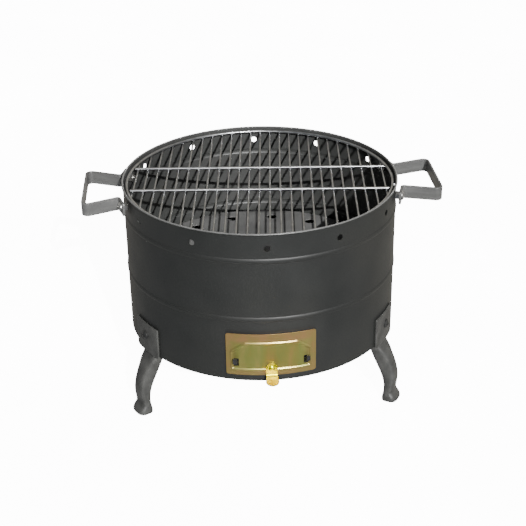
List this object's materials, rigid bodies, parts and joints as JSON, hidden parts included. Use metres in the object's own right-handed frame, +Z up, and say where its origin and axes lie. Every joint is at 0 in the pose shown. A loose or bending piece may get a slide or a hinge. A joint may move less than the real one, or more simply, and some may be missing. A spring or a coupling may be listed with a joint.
{
  "type": "portable tabletop charcoal grill",
  "caption": "Round sheet-steel charcoal grill on curved legs, with side bar handles, a lift-out cooking grate and charcoal plate, and a tipping vent door.",
  "frame": {"origin": "on the ground under the drum's axis", "axes": "+Z up, -Y front (the side with the vent door), +X to the right seen from the front"},
  "size_m": [0.4674, 0.4111, 0.296],
  "materials": {
    "drum_paint": "satin dark grey heat-resistant paint",
    "leg_paint": "satin grey paint",
    "handle_paint": "satin silver-grey paint",
    "grate_chrome": "bright plated wire",
    "plate_steel": "matt grey steel",
    "door_zinc": "yellow-passivated zinc plate",
    "tab_brass": "bright yellow-passivated zinc plate",
    "zinc_fastener": "bright zinc plate",
    "black_fastener": "black finish"
  },
  "bodies": {
    "drum": {"drum_wall": "drum_paint", "drum_floor": "drum_paint", "leg_left": "leg_paint", "leg_right": "leg_paint", "leg_rear": "leg_paint", "handle_left": "handle_paint", "handle_right": "handle_paint", "handle_bolt_left_front": "zinc_fastener", "handle_nut_left_front": "zinc_fastener", "handle_spacer_left_front": "zinc_fastener", "handle_bolt_left_rear": "zinc_fastener", "handle_nut_left_rear": "zinc_fastener", "handle_spacer_left_rear": "zinc_fastener", "handle_bolt_right_front": "zinc_fastener", "handle_nut_right_front": "zinc_fastener", "handle_spacer_right_front": "zinc_fastener", "handle_bolt_right_rear": "zinc_fastener", "handle_nut_right_rear": "zinc_fastener", "handle_spacer_right_rear": "zinc_fastener", "leg_bolt_left": "black_fastener", "leg_nut_left": "black_fastener", "leg_bolt_right": "black_fastener", "leg_nut_right": "black_fastener", "leg_bolt_rear": "black_fastener", "leg_nut_rear": "black_fastener", "plate_lug_left": "drum_paint", "plate_lug_right": "drum_paint", "plate_lug_rear": "drum_paint", "door_hook_left": "black_fastener", "door_hook_right": "black_fastener"},
    "door": {"vent_door": "door_zinc", "door_pull_tab": "tab_brass", "door_tab_rivet": "tab_brass"},
    "grate": {"grate_bars": "grate_chrome", "grate_ring": "grate_chrome", "grate_cross_rods": "grate_chrome"},
    "plate": {"charcoal_plate": "plate_steel"}
  },
  "joints": [
    {"name": "door_tip", "type": "hinge", "parent": "drum", "child": "door", "pos_m": [0, -0.1815, 0.1], "axis": [1, 0, 0], "range_deg": [0, 10]},
    {"name": "cooking_grate_lift", "type": "slide", "parent": "drum", "child": "grate", "axis": [0, 0, 1], "range_m": [0, 0.15]},
    {"name": "charcoal_plate_lift", "type": "slide", "parent": "drum", "child": "plate", "axis": [0, 0, 1], "range_m": [0, 0.1]}
  ]
}
